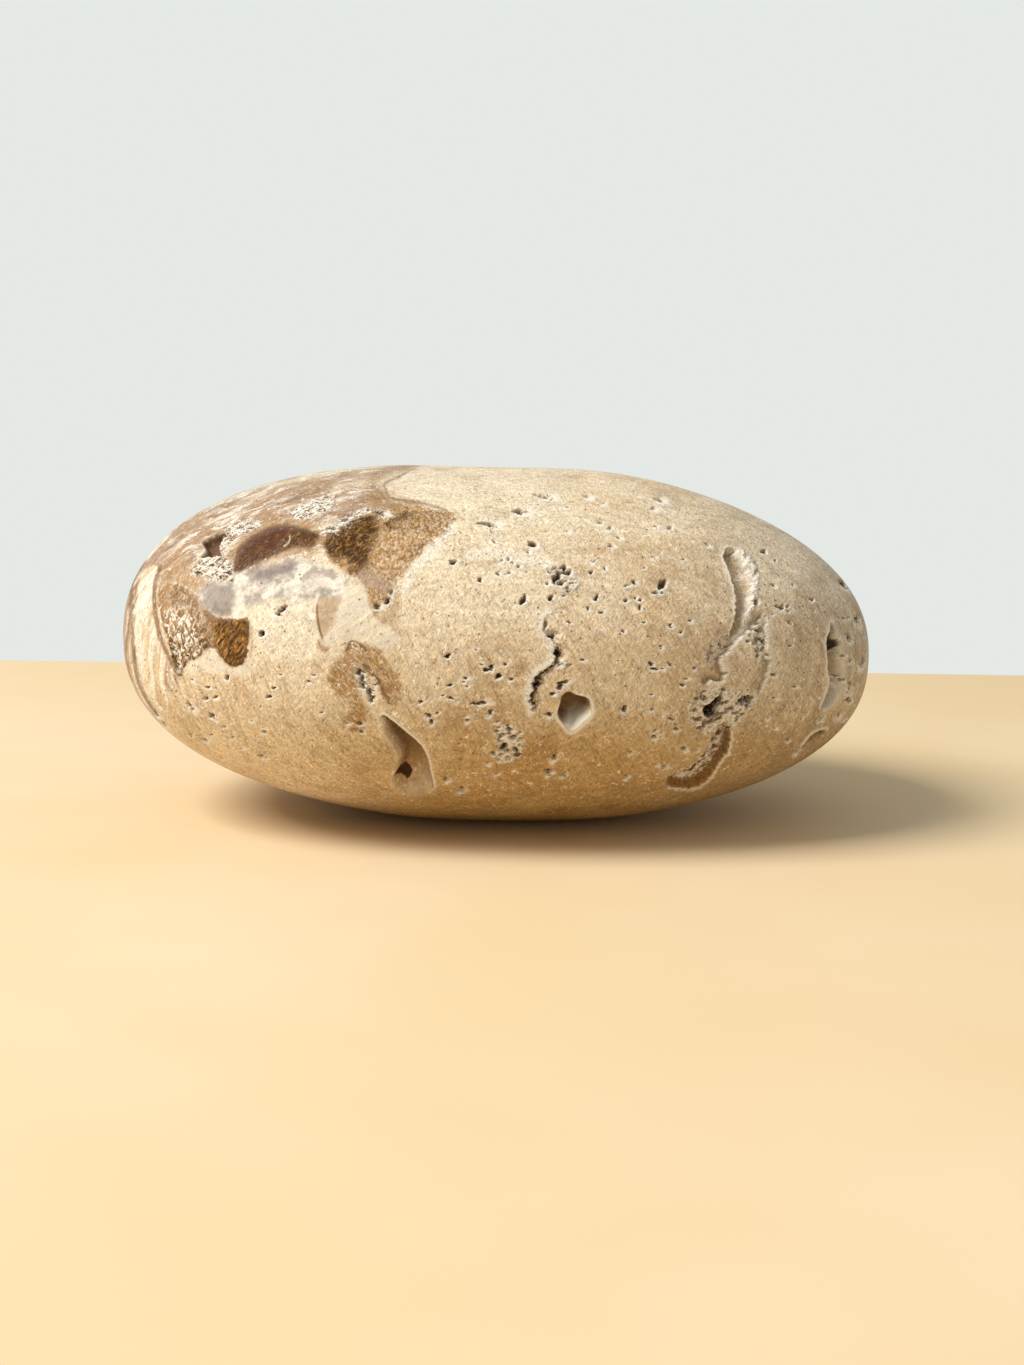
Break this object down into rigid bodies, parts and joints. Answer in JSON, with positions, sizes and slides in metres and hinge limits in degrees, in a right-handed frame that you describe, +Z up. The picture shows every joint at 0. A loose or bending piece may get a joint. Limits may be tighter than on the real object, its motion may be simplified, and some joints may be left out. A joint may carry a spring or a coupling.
{
  "type": "calcite palm stone",
  "caption": "Smooth palm-sized stone, an uneven flattened egg of banded brown calcite with pits, a vug and grooves; rests on a small worn flat.",
  "frame": {"origin": "on the ground, below the middle of the stone's bounding box", "axes": "+X along the stone's length towards its narrower, pitted end, +Y to the side away from the vug, +Z up from the flat it rests on"},
  "size_m": [0.0855, 0.0619, 0.0397],
  "materials": {
    "calcite": "polished banded calcite, tan with a cream cap, taupe bands and golden-brown and violet patches; pits and cavities left rough"
  },
  "bodies": {
    "root": {"stone": "calcite"}
  },
  "joints": []
}
